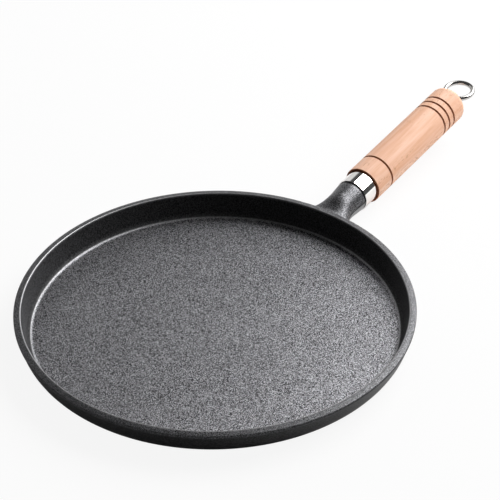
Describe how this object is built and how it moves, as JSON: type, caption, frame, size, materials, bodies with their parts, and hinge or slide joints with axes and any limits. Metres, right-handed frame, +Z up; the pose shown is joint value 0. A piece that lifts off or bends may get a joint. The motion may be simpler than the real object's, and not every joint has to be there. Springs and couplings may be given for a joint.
{
  "type": "cast iron pancake pan",
  "caption": "Shallow round cast-iron pancake pan with a cast neck, polished ferrule, turned wooden handle and a hanging ring on a screwed tie rod.",
  "frame": {"origin": "centre of the pan's flat base, on the surface that it stands on", "axes": "+X from the pan's centre along the handle, +Z up out of the open side, +Y to the left seen from above"},
  "size_m": [0.4463, 0.26, 0.0397],
  "materials": {
    "cast_iron": "as-cast, lightly oiled, fine sand texture",
    "polished_steel": "mirror polished",
    "plain_steel": "bright drawn",
    "beech": "turned, fine sanded, thin clear coat, burnt grooves"
  },
  "bodies": {
    "pan": {"pan_body": "cast_iron", "ferrule": "polished_steel", "wooden_handle": "beech"},
    "washer": {"end_washer": "plain_steel"},
    "eye_bolt": {"tie_rod": "plain_steel", "hanging_ring": "polished_steel"}
  },
  "joints": [
    {"name": "bolt_travel", "type": "slide", "parent": "pan", "child": "washer", "axis": [0.9962, 0, 0.0872], "range_m": [0, 0.00969]},
    {"name": "bolt_turn", "type": "hinge", "parent": "washer", "child": "eye_bolt", "pos_m": [0.2893, 0, 0.0264], "axis": [0.9962, 0, 0.0872], "range_deg": [0, 2791]}
  ],
  "couplings": [
    {"joint": "bolt_turn", "follows": "bolt_travel", "rad_per_m": 5026.5}
  ]
}
